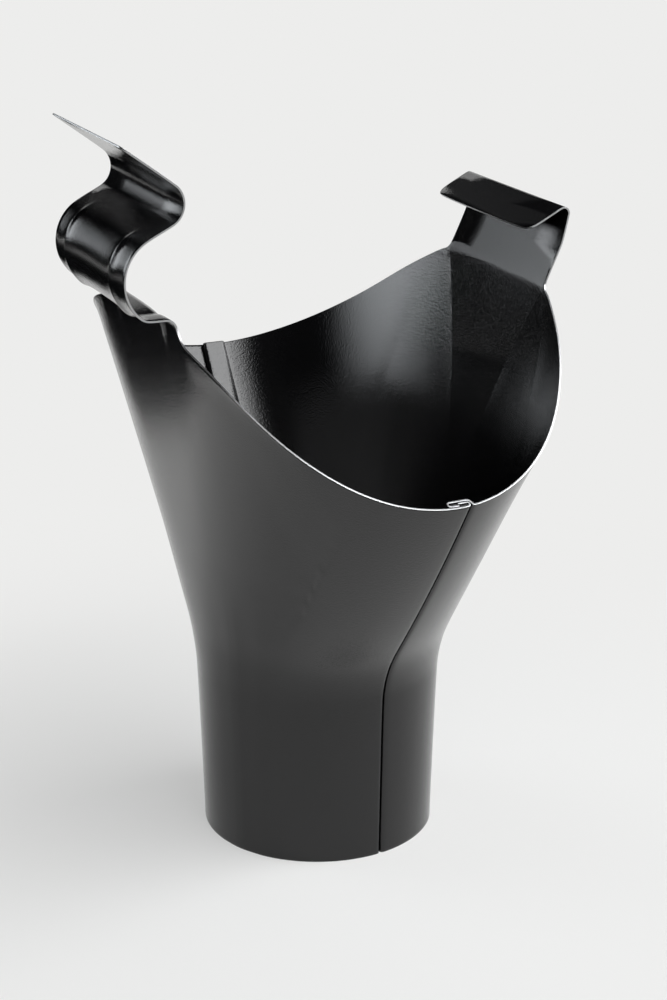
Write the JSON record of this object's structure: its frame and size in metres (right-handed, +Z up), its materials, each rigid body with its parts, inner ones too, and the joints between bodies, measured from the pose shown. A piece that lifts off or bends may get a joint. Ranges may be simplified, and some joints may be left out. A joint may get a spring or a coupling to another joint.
{
  "type": "gutter outlet",
  "caption": "Half-round gutter outlet of two interlocked coated steel sheets: funnel, round spigot, spring clip for the front bead and hooked tab for the back edge.",
  "frame": {"origin": "on the ground, under the middle of the whole part", "axes": "+Z up along the spigot, the gutter runs along Y, its back edge and the hooked tab lie towards +X"},
  "size_m": [0.1666, 0.2178, 0.2668],
  "materials": {
    "front_coating": "satin black baked coating with a fine grain",
    "rear_coating": "satin black baked coating with a fine grain"
  },
  "bodies": {
    "root": {"front_shell": "front_coating", "rear_shell": "rear_coating"}
  },
  "joints": []
}
